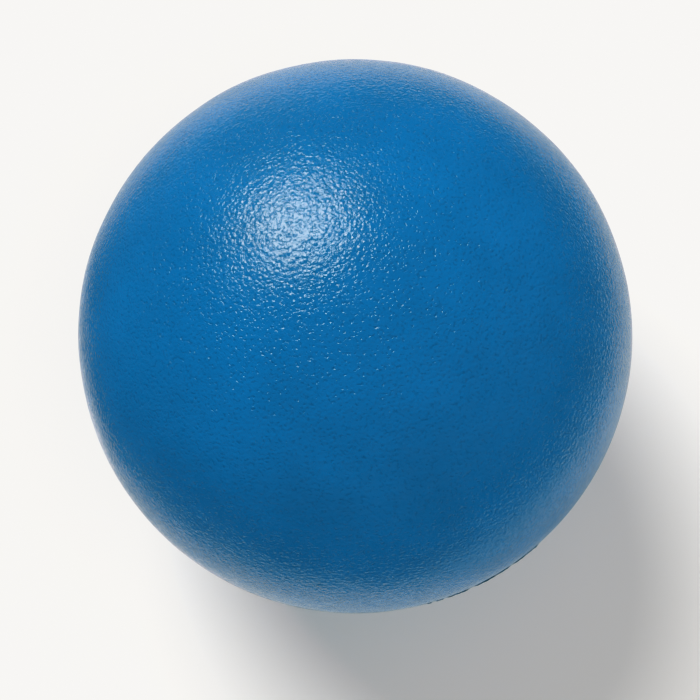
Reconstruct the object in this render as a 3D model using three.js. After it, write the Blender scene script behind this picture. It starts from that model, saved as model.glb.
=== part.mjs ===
// A composite croquet ball, full size.
//
// Two moulded plastic shell halves close around a pressed cork and rubber core. A tongue on the
// upper half's rim is cemented into a groove in the lower half's, and a bead of cement fills the
// vee that the two chamfered rims leave round the outside.
//
// Millimetres, +Z up. The origin is the ball's centre, and the seam lies in the XY plane.
import * as THREE from "three";

// Driving dimensions
const INCH = 25.4;
const BALL_RADIUS = (3.625 * INCH) / 2; // a full-size ball is 3 5/8 in across
const SHELL_WALL = 0.25 * INCH;
const CEMENT_FILM = 0.3; // the space between any two pieces that are stuck together
const VEE_DEPTH = 0.8; // the 45 degree chamfer on each half's outer edge
const TONGUE = { fromCavity: 1.6, thickness: 2.0, reach: 2.6, chamfer: 0.4 };

// Steps round each piece, and up a quarter circle of each curved face
const ROUND_STEPS = 64;
const OUTER_STEPS = 16;
const CAVITY_STEPS = 8;
const CORE_ROUND_STEPS = 40;
const CORE_STEPS = 10;

const POLE = Math.PI / 2;
const CAVITY_RADIUS = BALL_RADIUS - SHELL_WALL;
const RIM_HEIGHT = CEMENT_FILM / 2; // of each half's flat rim, away from the seam plane
const TONGUE_INNER = CAVITY_RADIUS + TONGUE.fromCavity;
const TONGUE_OUTER = TONGUE_INNER + TONGUE.thickness;

// The angle above the XY plane of the point of a sphere at a height
const latitudeAt = (radius, height) => Math.asin(height / radius);

// Points of a sphere's outline from one latitude to another, both included
function arc(radius, from, to, steps) {
  return Array.from({ length: steps + 1 }, (_, i) => {
    const latitude = from + ((to - from) * i) / steps;
    const onAxis = Math.abs(latitude) > POLE - 1e-9;
    return new THREE.Vector2(onAxis ? 0 : radius * Math.cos(latitude), radius * Math.sin(latitude));
  });
}

// A solid turned round the Z axis from an outline of (distance from the axis, height) points
function turned(name, outline, material, steps = ROUND_STEPS) {
  const geometry = new THREE.LatheGeometry(outline, steps);
  geometry.rotateX(Math.PI / 2);
  const mesh = new THREE.Mesh(geometry, material);
  mesh.name = name;
  return mesh;
}

// Half of the shell, rim down. Its outline runs from the cavity's pole down to the flat rim, along
// the joint's points, up the chamfer, and over the outside to the outer pole.
function shellHalf(name, jointPoints, material) {
  const outline = [
    ...arc(CAVITY_RADIUS, POLE, latitudeAt(CAVITY_RADIUS, RIM_HEIGHT), CAVITY_STEPS),
    ...jointPoints.map(([reach, height]) => new THREE.Vector2(reach, height)),
    new THREE.Vector2(BALL_RADIUS - VEE_DEPTH, RIM_HEIGHT),
    ...arc(BALL_RADIUS, latitudeAt(BALL_RADIUS, VEE_DEPTH + RIM_HEIGHT), POLE, OUTER_STEPS),
  ];
  return turned(name, outline, material);
}

// The tongue hangs below the rim, with both corners of its tip chamfered.
function shellUpper(material) {
  const { reach, chamfer } = TONGUE;
  const tongue = [
    [TONGUE_INNER, RIM_HEIGHT],
    [TONGUE_INNER, chamfer - reach],
    [TONGUE_INNER + chamfer, -reach],
    [TONGUE_OUTER - chamfer, -reach],
    [TONGUE_OUTER, chamfer - reach],
    [TONGUE_OUTER, RIM_HEIGHT],
  ];
  return shellHalf("shell_upper", tongue, material);
}

// The groove clears the tongue by the cement film on both sides and at its floor.
function shellLower(material) {
  const floor = TONGUE.reach + CEMENT_FILM;
  const groove = [
    [TONGUE_INNER - CEMENT_FILM, RIM_HEIGHT],
    [TONGUE_INNER - CEMENT_FILM, floor],
    [TONGUE_OUTER + CEMENT_FILM, floor],
    [TONGUE_OUTER + CEMENT_FILM, RIM_HEIGHT],
  ];
  const half = shellHalf("shell_lower", groove, material);
  half.rotation.x = Math.PI;
  return half;
}

// A ring of near-triangular section, dressed to the curve of the ball
function seamBead(material) {
  const depth = VEE_DEPTH + RIM_HEIGHT - Math.SQRT2 * CEMENT_FILM;
  const root = new THREE.Vector2(BALL_RADIUS - depth, 0);
  const edge = latitudeAt(BALL_RADIUS, depth);
  const outline = [root, ...arc(BALL_RADIUS, -edge, edge, 2), root.clone()];
  return turned("seam_bead", outline, material);
}

function core(material) {
  const outline = arc(CAVITY_RADIUS - CEMENT_FILM, -POLE, POLE, 2 * CORE_STEPS);
  return turned("core", outline, material, CORE_ROUND_STEPS);
}

function plain(color, roughness) {
  return new THREE.MeshStandardMaterial({ color, roughness, metalness: 0 });
}

const ball = new THREE.Group();
ball.add(shellUpper(plain(0x1266a8, 0.36)));
ball.add(shellLower(plain(0x1266a8, 0.36)));
ball.add(seamBead(plain(0x0d4f86, 0.5)));
ball.add(core(plain(0x6b4a32, 0.9)));

export default ball;
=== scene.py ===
"""A composite croquet ball: two moulded blue halves, the cement bead in their seam, and a cork core."""
import math

import bpy
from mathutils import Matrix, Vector, noise


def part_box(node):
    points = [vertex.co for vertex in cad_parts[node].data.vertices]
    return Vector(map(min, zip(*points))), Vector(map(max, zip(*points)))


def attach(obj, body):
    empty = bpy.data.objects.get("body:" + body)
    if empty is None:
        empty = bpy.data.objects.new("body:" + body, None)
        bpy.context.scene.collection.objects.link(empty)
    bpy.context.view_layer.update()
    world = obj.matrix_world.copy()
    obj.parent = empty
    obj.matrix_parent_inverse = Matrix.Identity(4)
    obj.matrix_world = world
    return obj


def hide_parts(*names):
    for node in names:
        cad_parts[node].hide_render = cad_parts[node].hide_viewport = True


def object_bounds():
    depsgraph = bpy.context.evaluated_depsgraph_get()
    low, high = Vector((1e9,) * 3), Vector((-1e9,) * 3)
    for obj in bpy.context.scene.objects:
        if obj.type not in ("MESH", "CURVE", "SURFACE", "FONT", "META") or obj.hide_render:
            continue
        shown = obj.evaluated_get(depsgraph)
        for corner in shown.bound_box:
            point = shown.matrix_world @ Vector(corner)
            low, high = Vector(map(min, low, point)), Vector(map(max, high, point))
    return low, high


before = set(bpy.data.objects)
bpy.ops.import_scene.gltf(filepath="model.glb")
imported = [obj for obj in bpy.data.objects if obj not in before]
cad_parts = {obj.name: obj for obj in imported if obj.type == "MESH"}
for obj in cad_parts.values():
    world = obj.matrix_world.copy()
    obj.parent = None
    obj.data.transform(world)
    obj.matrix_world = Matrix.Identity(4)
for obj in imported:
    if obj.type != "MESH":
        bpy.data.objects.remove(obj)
cad_low, cad_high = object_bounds()

MM = 0.001

# ---------------------------------------------------------------- sizes: the frame's, then the joint's
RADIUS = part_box("shell_upper")[1].z
CORE_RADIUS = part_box("core")[1].z
TONGUE_REACH = -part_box("shell_upper")[0].z
FILM = 0.3 * MM  # of cement, between the core and the shell
CAVITY_RADIUS = CORE_RADIUS + FILM
TONGUE_INNER = CAVITY_RADIUS + 1.6 * MM
TONGUE_OUTER = TONGUE_INNER + 2.0 * MM
RIM_GAP = 0.02 * MM  # from each flat rim to the seam plane
VEE = 0.5 * MM  # depth and half width of the seam's vee
EDGE_ROUND = 0.2 * MM  # how far the vee's edge is worn back over the ball
TRUE_RIM = 6 * MM  # the unevenness fades out over this height above the seam
GRANULE = 2.8 * MM  # of cork

DOME_STEPS = 96  # quads across one face of the cube that each dome is pressed from
BEAD_STEPS = 1440  # sections round the bead

# ---------------------------------------------------------------- camera
CAMERA_DISTANCE = 6.5 * RADIUS
CAMERA_TILT = math.radians(9.3)  # from straight down
BALL_IN_FRAME = 0.7915  # the ball's width as a part of the picture's
BALL_OFFSET = (0.0069, 0.0197)  # the ball's centre right of and above the picture's, in widths
SENSOR = 36.0


def make_camera():
    limb = math.asin(RADIUS / CAMERA_DISTANCE)
    half_view = math.tan(limb) / BALL_IN_FRAME
    data = bpy.data.cameras.new("camera")
    data.sensor_width = SENSOR
    data.lens = SENSOR / 2 / half_view
    data.clip_start = 0.01
    data.clip_end = 20
    camera = bpy.data.objects.new("camera", data)
    bpy.context.scene.collection.objects.link(camera)
    back = Vector((0, -math.sin(CAMERA_TILT), math.cos(CAMERA_TILT)))
    right = Vector((1, 0, 0))
    up = back.cross(right)
    width = 2 * half_view * CAMERA_DISTANCE
    aim = -(right * BALL_OFFSET[0] + up * BALL_OFFSET[1]) * width
    camera.location = back * CAMERA_DISTANCE
    camera.rotation_mode = "QUATERNION"
    camera.rotation_quaternion = (aim - camera.location).to_track_quat("-Z", "Y")
    bpy.context.scene.camera = camera


make_camera()


# ---------------------------------------------------------------- meshes
def new_piece(name, points, faces, crease=40):
    """A smooth-shaded mesh object, whose edges sharper than crease degrees stay crisp."""
    mesh = bpy.data.meshes.new(name)
    mesh.from_pydata(points, [], faces)
    mesh.validate()
    mesh.shade_smooth()
    mesh.set_sharp_from_angle(angle=math.radians(crease))
    piece = bpy.data.objects.new(name, mesh)
    bpy.context.scene.collection.objects.link(piece)
    return piece


def cube_patches(steps, whole):
    """Quads of a cube's surface as corners (i, j, k), facing out: its upper half, or all of it."""
    half = steps // 2
    cells = range(-half, half)
    for k in cells if whole else range(half):
        for i in cells:
            yield (i, -half, k), (i + 1, -half, k), (i + 1, -half, k + 1), (i, -half, k + 1)
            yield (half, i, k), (half, i + 1, k), (half, i + 1, k + 1), (half, i, k + 1)
            yield (i + 1, half, k), (i, half, k), (i, half, k + 1), (i + 1, half, k + 1)
            yield (-half, i + 1, k), (-half, i, k), (-half, i, k + 1), (-half, i + 1, k + 1)
    for i in cells:
        for j in cells:
            yield (i, j, half), (i + 1, j, half), (i + 1, j + 1, half), (i, j + 1, half)
            if whole:
                yield (i, j + 1, -half), (i + 1, j + 1, -half), (i + 1, j, -half), (i, j, -half)


def pressed(steps, whole=False):
    """The cube pressed out to a unit sphere: its directions, its faces, and each corner's index."""
    index, faces = {}, []
    for quad in cube_patches(steps, whole):
        faces.append([index.setdefault(corner, len(index)) for corner in quad])
    half = steps // 2
    warp = [math.tan(math.pi / 2 * c / steps) for c in range(-half, half + 1)]  # evens out the angles
    directions = [Vector([warp[c + half] for c in corner]).normalized() for corner in index]
    return directions, faces, index


def rim_walk(steps):
    """The corners round a dome's open edge, anticlockwise from above."""
    half = steps // 2
    cells = range(-half, half)
    first = [(i, -half, 0) for i in cells] + [(half, j, 0) for j in cells]
    return first + [(-i, -j, 0) for i, j, _ in first]


def raised(direction, lowest):
    """A direction of the upper half, moved up so that the open edge comes to latitude lowest."""
    latitude = math.asin(max(-1.0, min(1.0, direction.z)))
    latitude = lowest + latitude * (1 - lowest / (math.pi / 2))
    flat = Vector((direction.x, direction.y, 0))
    if flat.length < 1e-9:
        return Vector((0, 0, 1))
    flat.normalize()
    return flat * math.cos(latitude) + Vector((0, 0, math.sin(latitude)))


def unevenness(point):
    """How far the moulded surface stands off a true sphere: long waves, and shorter, lower ones."""
    return 0.15 * MM * noise.noise(point / (14 * MM)) + 0.03 * MM * noise.noise(point / (5 * MM))


def shell_half(name, joint, side):
    """One half: its outside, its rim with the joint's (reach, height) points, and its cavity.

    side is 1 for the half above the seam and -1 for the half below it. Heights run from the seam
    into the half.
    """
    directions, dome_faces, index = pressed(DOME_STEPS)
    walk = rim_walk(DOME_STEPS)
    rim = [index[corner] for corner in walk]
    edge = RADIUS * math.cos(VEE / RADIUS)
    outer_low = math.asin((VEE + EDGE_ROUND) / RADIUS)
    cavity_low = math.asin(RIM_GAP / CAVITY_RADIUS)
    points = []
    for direction in directions:
        spot = raised(direction, outer_low)
        fade = min(1.0, (spot.z * RADIUS - VEE) / TRUE_RIM)
        turned = Vector((spot.x, spot.y, side * spot.z))
        points.append(turned * (RADIUS + fade * unevenness(turned * RADIUS)))
    faces = [list(face) for face in dome_faces]
    cavity = len(points)
    for direction in directions:
        spot = raised(direction, cavity_low) * CAVITY_RADIUS
        points.append(Vector((spot.x, spot.y, side * spot.z)))
    faces += [[cavity + corner for corner in reversed(face)] for face in dome_faces]

    profile = [  # the worn edge's two points, the vee's root, and the joint
        (edge - 0.02 * MM, VEE + 0.45 * EDGE_ROUND),
        (edge - 0.09 * MM, VEE),
        (RADIUS - VEE, RIM_GAP),
        *joint,
    ]
    rings = [rim]
    for reach, height in profile:
        rings.append(range(len(points), len(points) + len(rim)))
        for corner in rim:
            flat = Vector((directions[corner].x, directions[corner].y, 0)).normalized()
            points.append(flat * reach + Vector((0, 0, side * height)))
    rings.append([cavity + corner for corner in rim])
    for above, below in zip(rings, rings[1:]):
        for a in range(len(rim)):
            b = (a + 1) % len(rim)
            faces.append([above[a], below[a], below[b], above[b]])
    if side < 0:
        faces = [list(reversed(face)) for face in faces]
    return new_piece(name, points, faces)


def tongue():
    """The upper half's rim, from the vee in to the cavity, with the tongue's tip rounded."""
    bend = 0.4 * MM
    return [
        (TONGUE_OUTER, RIM_GAP),
        (TONGUE_OUTER, bend - TONGUE_REACH),
        (TONGUE_OUTER - 0.3 * bend, 0.3 * bend - TONGUE_REACH),
        (TONGUE_OUTER - bend, -TONGUE_REACH),
        (TONGUE_INNER + bend, -TONGUE_REACH),
        (TONGUE_INNER + 0.3 * bend, 0.3 * bend - TONGUE_REACH),
        (TONGUE_INNER, bend - TONGUE_REACH),
        (TONGUE_INNER, RIM_GAP),
    ]


def groove():
    """The lower half's rim, which clears the tongue by the film all round."""
    floor = TONGUE_REACH + FILM
    return [
        (TONGUE_OUTER + FILM, RIM_GAP),
        (TONGUE_OUTER + FILM, floor),
        (TONGUE_INNER - FILM, floor),
        (TONGUE_INNER - FILM, RIM_GAP),
    ]


# Flakes of flash left standing on the seam: azimuth and half width in degrees, height in mm
FLASH = [
    (-51.3, 3.7, 0.19),
    (-59.4, 4.6, 0.21),
    (-67.4, 2.6, 0.17),
    (-71.4, 0.9, 0.13),
    (-73.6, 0.5, 0.12),
    (24, 3, 0.10),
    (71, 5, 0.12),
    (118, 2.5, 0.16),
    (163, 4, 0.10),
    (-168, 3, 0.14),
]


def bearing(azimuth):
    """The level direction at an azimuth in degrees."""
    return Vector((math.cos(math.radians(azimuth)), math.sin(math.radians(azimuth)), 0))


def pride(azimuth):
    """How far the bead stands out of the ball at an azimuth in degrees."""
    here = bearing(azimuth)
    height = 0.02 + 0.03 * noise.noise(here * 9)
    for middle, half_width, tall in FLASH:
        off = abs((azimuth - middle + 180) % 360 - 180) / half_width
        if off < 1:
            ragged = 0.8 + 0.5 * noise.noise(here * 60)
            height += tall * ragged * min(1.0, 4 * (1 - off))
    return height * MM


def seam_bead(name):
    """A ring that fills the vee, with its outer face uneven."""
    points, faces = [], []
    for step in range(BEAD_STEPS):
        azimuth = 360 * step / BEAD_STEPS
        out = bearing(azimuth)
        tall = pride(azimuth)
        wide = VEE * (0.84 + 0.1 * noise.noise(out * 25))
        section = [
            (RADIUS - VEE + 0.06 * MM, 0),
            (RADIUS - 0.12 * MM, -wide),
            (RADIUS - 0.02 * MM + 0.3 * tall, -wide),
            (RADIUS + 0.9 * tall, -0.45 * wide),
            (RADIUS + tall, 0),
            (RADIUS + 0.9 * tall, 0.45 * wide),
            (RADIUS - 0.02 * MM + 0.3 * tall, wide),
            (RADIUS - 0.12 * MM, wide),
        ]
        points += [out * reach + Vector((0, 0, height)) for reach, height in section]
    count = len(section)
    for step in range(BEAD_STEPS):
        here, there = step * count, (step + 1) % BEAD_STEPS * count
        for a in range(count):
            b = (a + 1) % count
            faces.append([here + a, there + a, there + b, here + b])
    return new_piece(name, points, faces, crease=60)


def cork_core(name):
    """The pressed core, with its granules standing a little out of the binder."""
    directions, faces, _ = pressed(DOME_STEPS, whole=True)
    points = []
    for direction in directions:
        nearest, _ = noise.voronoi(direction * CORE_RADIUS / GRANULE)
        points.append(direction * (CORE_RADIUS - 0.35 * MM * nearest[0] ** 2))
    return new_piece(name, points, faces, crease=80)


# ---------------------------------------------------------------- materials
class Look:
    """A Principled material, and short ways to add the nodes that drive it."""

    def __init__(self, name):
        self.material = bpy.data.materials.new(name)
        self.material.use_nodes = True
        self.nodes = self.material.node_tree.nodes
        self.links = self.material.node_tree.links
        self.shader = self.nodes["Principled BSDF"]
        self.place = self.nodes.new("ShaderNodeTexCoord").outputs["Object"]

    def add(self, kind, inputs, **settings):
        """A node of that kind, with each input linked or set. Its settings go first."""
        node = self.nodes.new(kind)
        for key, value in settings.items():
            setattr(node, key, value)
        for key, value in inputs.items():
            if isinstance(value, bpy.types.NodeSocket):
                self.links.new(value, node.inputs[key])
            else:
                node.inputs[key].default_value = value
        return node

    def noise(self, size, detail=2.0, roughness=0.5):
        inputs = {"Vector": self.place, "Scale": 1 / size, "Detail": detail, "Roughness": roughness}
        return self.add("ShaderNodeTexNoise", inputs).outputs["Fac"]

    def cells(self, size, output="Distance", feature="F1"):
        inputs = {"Vector": self.place, "Scale": 1 / size}
        return self.add("ShaderNodeTexVoronoi", inputs, feature=feature).outputs[output]

    def ramp(self, value, stops):
        """The colour at a value, between stops of (position, colour)."""
        node = self.add("ShaderNodeValToRGB", {"Fac": value})
        elements = node.color_ramp.elements
        while len(elements) < len(stops):
            elements.new(0.5)
        for element, (position, color) in zip(elements, stops):
            element.position = position
            element.color = (*color, 1)
        return node.outputs["Color"]

    def spread(self, value, low, high, start=0.0, end=1.0):
        """low where the value is start or less, high where it is end or more, eased between."""
        inputs = {"Value": value, "From Min": start, "From Max": end, "To Min": low, "To Max": high}
        return self.add("ShaderNodeMapRange", inputs, interpolation_type="SMOOTHSTEP").outputs["Result"]

    def mix(self, share, a, b):
        """Colour a where the share is 0, and colour b where it is 1."""
        colors = [value if isinstance(value, bpy.types.NodeSocket) else (*value, 1) for value in (a, b)]
        inputs = {0: share, 6: colors[0], 7: colors[1]}  # the node's colour sockets share their names
        return self.add("ShaderNodeMix", inputs, data_type="RGBA").outputs[2]

    def vector(self, operation, a, b):
        return self.add("ShaderNodeVectorMath", {0: a, 1: b}, operation=operation).outputs["Vector"]

    def bump(self, height, depth, below=None):
        """A normal for a height of 0 to 1 times the depth, over the normal below."""
        inputs = {"Height": height, "Distance": depth, "Strength": 1.0}
        if below is not None:
            inputs["Normal"] = below
        return self.add("ShaderNodeBump", inputs).outputs["Normal"]

    def set(self, **values):
        """Links or sets the shader's inputs, named with _ for each space."""
        for key, value in values.items():
            socket = self.shader.inputs[key.replace("_", " ")]
            if isinstance(value, bpy.types.NodeSocket):
                self.links.new(value, socket)
            else:
                socket.default_value = (*value, 1) if isinstance(value, tuple) else value


BLUE = (0.0, 0.122, 0.350)

# The layers of the orange peel, each with its size and its depth
WAVES = (1.3 * MM, 0.03 * MM)
DOMES = (0.7 * MM, 0.058 * MM)
GRAIN = (0.22 * MM, 0.032 * MM)
PITS = (0.42 * MM, 0.042 * MM)


def shaded(color, amount):
    return tuple(c * amount for c in color)


def moulded_blue():
    """Glossy orange peel of small domes over soft waves, with fine grain and pits, and painted shade that
    darkens the base colour in the pits.
    """
    look = Look("moulded_blue")
    cloudy = look.ramp(look.noise(11 * MM, 3), [(0.35, shaded(BLUE, 0.94)), (0.65, shaded(BLUE, 1.06))])
    pits = look.noise(PITS[0], 0.0)
    # painted shade: the base colour is made up to 15% darker in the pits, where shade would fall
    painted_pit_shade = look.spread(pits, 0.85, 1.0, 0.25, 0.4)
    blue_with_painted_shade = look.add("ShaderNodeVectorMath", {0: cloudy, "Scale": painted_pit_shade}, operation="SCALE")
    domes = look.spread(look.cells(DOMES[0]), 1.0, 0.0, 0.0, 0.75)
    normal = look.bump(look.noise(WAVES[0], 1.0), WAVES[1])
    normal = look.bump(domes, DOMES[1], normal)
    normal = look.bump(look.noise(GRAIN[0], 0.0), GRAIN[1], normal)
    normal = look.bump(look.spread(pits, 0.0, 1.0, 0.25, 0.45), PITS[1], normal)
    look.set(
        Base_Color=blue_with_painted_shade.outputs["Vector"],
        Roughness=look.spread(look.noise(2.0 * MM, 3), 0.14, 0.19, 0.3, 0.7),
        IOR=1.49,
        Specular_Tint=(0.9, 1.0, 0.86),
        Normal=normal,
    )
    return look.material


def seam_cement():
    look = Look("seam_cement")
    tone = look.ramp(look.noise(0.8 * MM, 3), [(0.3, (0.001, 0.006, 0.035)), (0.7, (0.002, 0.018, 0.09))])
    look.set(
        Base_Color=tone,
        Roughness=look.spread(look.noise(0.5 * MM), 0.5, 0.75, 0.3, 0.7),
        Specular_IOR_Level=0.15,
        Normal=look.bump(look.noise(0.3 * MM), 0.04 * MM),
    )
    return look.material


def pressed_cork():
    look = Look("pressed_cork")
    grain = look.cells(GRANULE, "Color")
    barks = [
        (0.0, (0.05, 0.025, 0.012)),
        (0.45, (0.20, 0.10, 0.045)),
        (0.8, (0.36, 0.21, 0.10)),
        (1.0, (0.03, 0.03, 0.03)),
    ]
    tone = look.ramp(look.add("ShaderNodeSeparateColor", {"Color": grain}).outputs[0], barks)
    binder = look.cells(GRANULE, feature="DISTANCE_TO_EDGE")
    share = look.spread(binder, 1.0, 0.0, 0.0, 0.12)
    specks = look.noise(0.35 * MM, 4)
    look.set(
        Base_Color=look.mix(share, tone, (0.02, 0.017, 0.015)),
        Roughness=look.spread(specks, 0.7, 0.95, 0.3, 0.7),
        Normal=look.bump(specks, 0.15 * MM),
    )
    return look.material


# ---------------------------------------------------------------- the ball
blue = moulded_blue()


def place(piece, node, material):
    """Puts a piece in a node's stead, on the one body, in its material's slot."""
    piece.data.materials.append(material)
    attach(piece, "root")
    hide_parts(node)


place(shell_half("upper_half", tongue(), 1), "shell_upper", blue)
place(shell_half("lower_half", groove(), -1), "shell_lower", blue)
place(seam_bead("seam_cement"), "seam_bead", seam_cement())
place(cork_core("cork_core"), "core", pressed_cork())


# ---------------------------------------------------------------- floor and light
FLOOR_RADIUS = 6.0
SWEEP = (0.25, 0.8)  # from here to here the floor brightens into the backdrop, as a lit sweep does,
SWEEP_GLOW = 0.6  # and by this much
KEY_DIRECTION = Vector((-0.378, 0.576, 0.725)).normalized()
KEY_DISTANCE = 3.2
KEY_SPREAD = math.radians(16.4)  # half the angle that the light covers, seen from the ball
KEY_WATTS = 111.0
FILL = 0.585
FILL_LEAN = (0.42, -0.34, -0.19)  # how much brighter the fill is towards +X, +Y and +Z
FILL_IN_GLOSS = 0.15  # the fill's even level in reflections
BACKDROP = 1.05  # and behind the floor's edge
PAPER = (0.94, 0.918, 0.88)

# The floor's colour as the ball's gloss sees it, with painted light: an oval pool along the key's beam
# and two spots beside it, with painted darkness round them, as on a table between black flags. Each has
# its centre, half lengths, turn, and levels from its centre out to its edge.
POOLS = [
    ((0.4, 0.95), (4.8, 2.25), 120, [(0.0, 0.86), (0.75, 0.68), (1.0, 0.05)]),
    ((-0.45, -1.15), (1.5, 1.7), 0, [(0.7, 0.64), (1.0, 0.0)]),
    ((-1.35, 0.0), (0.8, 0.9), 0, [(0.0, 0.48), (0.45, 0.36), (0.85, 0.0)]),
]

# The film: the level that each of red, green and blue stops at, how far below it the curve starts to
# bend, and where the reds go, as (before, after)
PAPER_WHITE = (0.931, 0.923, 0.905)
SHOULDER = 0.06
REDS = [
    (0.013, 0.007),
    (0.03, 0.014),
    (0.06, 0.031),
    (0.10, 0.069),
    (0.22, 0.183),
    (0.30, 0.265),
    (0.40, 0.40),
]


def pool_level(look, centre, half, turn, levels):
    """One painted pool's brightness at a point of the floor, as glossy rays see it."""
    inputs = {
        "Vector": look.place,
        "Location": (centre[0] * RADIUS, centre[1] * RADIUS, cad_low.z),
        "Rotation": (0, 0, math.radians(turn)),
        "Scale": (half[0] * RADIUS, half[1] * RADIUS, 1),
    }
    oval = look.add("ShaderNodeMapping", inputs, vector_type="TEXTURE").outputs["Vector"]
    away = look.add("ShaderNodeVectorMath", {0: oval}, operation="LENGTH").outputs["Value"]
    return look.ramp(away, [(position, (level,) * 3) for position, level in levels])


def make_floor():
    sides = 128
    circle = [2 * math.pi * a / sides for a in range(sides)]
    points = [Vector((FLOOR_RADIUS * math.cos(a), FLOOR_RADIUS * math.sin(a), cad_low.z)) for a in circle]
    floor = new_piece("floor", points, [list(range(sides))])
    look = Look("white_sweep")
    paper = look.ramp(look.noise(0.15, 2), [(0.3, shaded(PAPER, 0.985)), (0.7, PAPER)])
    level = (0, 0, 0)
    for pool in POOLS:
        level = look.vector("ADD", pool_level(look, *pool), level)
    painted_pools_in_gloss = look.vector("MULTIPLY", level, paper)
    path = look.add("ShaderNodeLightPath", {})
    away = look.add("ShaderNodeVectorMath", {0: look.place}, operation="LENGTH").outputs["Value"]
    glow = look.spread(away, 0.0, SWEEP_GLOW, *SWEEP)
    seen = look.add("ShaderNodeMath", {0: glow, 1: path.outputs["Is Camera Ray"]}, operation="MULTIPLY")
    look.set(
        # painted reflection: glossy rays see the floor's colour times the painted pools of light and
        # darkness
        Base_Color=look.mix(path.outputs["Is Glossy Ray"], paper, painted_pools_in_gloss),
        Roughness=look.spread(look.noise(0.02), 0.75, 0.85),
        Specular_IOR_Level=0.1,
        Emission_Color=PAPER,
        Emission_Strength=seen.outputs["Value"],
    )
    floor.data.materials.append(look.material)


def make_key():
    data = bpy.data.lights.new("key", "AREA")
    data.shape = "DISK"
    data.size = 2 * KEY_DISTANCE * math.tan(KEY_SPREAD)
    data.energy = KEY_WATTS
    key = bpy.data.objects.new("key", data)
    bpy.context.scene.collection.objects.link(key)
    key.location = KEY_DIRECTION * KEY_DISTANCE
    key.rotation_mode = "QUATERNION"
    key.rotation_quaternion = (-KEY_DIRECTION).to_track_quat("-Z", "Y")


def make_world():
    """Soft light from all round, brighter from the right, the front and below.

    It is even, at a level of its own, for glossy rays and again for the camera's.
    """
    world = bpy.data.worlds.new("studio")
    bpy.context.scene.world = world
    world.use_nodes = True
    nodes, links = world.node_tree.nodes, world.node_tree.links
    towards = nodes.new("ShaderNodeTexCoord").outputs["Generated"]
    lean = nodes.new("ShaderNodeVectorMath")
    lean.operation = "DOT_PRODUCT"
    links.new(towards, lean.inputs[0])
    lean.inputs[1].default_value = FILL_LEAN
    fill = nodes.new("ShaderNodeMath")
    fill.operation = "ADD"
    links.new(lean.outputs["Value"], fill.inputs[0])
    fill.inputs[1].default_value = FILL
    strength = fill.outputs["Value"]
    path = nodes.new("ShaderNodeLightPath")
    for ray, level in (("Is Glossy Ray", FILL_IN_GLOSS), ("Is Camera Ray", BACKDROP)):
        mix = nodes.new("ShaderNodeMix")
        links.new(path.outputs[ray], mix.inputs["Factor"])
        links.new(strength, mix.inputs["A"])
        mix.inputs["B"].default_value = level
        strength = mix.outputs["Result"]
    links.new(strength, nodes["Background"].inputs["Strength"])
    nodes["Background"].inputs["Color"].default_value = (1, 1, 1, 1)


def make_response():
    """The film's response: flat above the paper's white, with reds that sink in the deepest blues."""
    view = bpy.context.scene.view_settings
    view.view_transform = "Standard"
    view.use_curve_mapping = True
    view.curve_mapping.extend = "HORIZONTAL"
    for curve, white, bends in zip(view.curve_mapping.curves, PAPER_WHITE, (REDS, [], [])):
        for before, after in [*bends, (white - SHOULDER, white - SHOULDER)]:
            curve.points.new(before, after)
        curve.points[len(curve.points) - 1].location = (1, white)
        for point in curve.points:
            point.handle_type = "VECTOR"
    view.curve_mapping.update()


make_floor()
make_key()
make_world()
make_response()
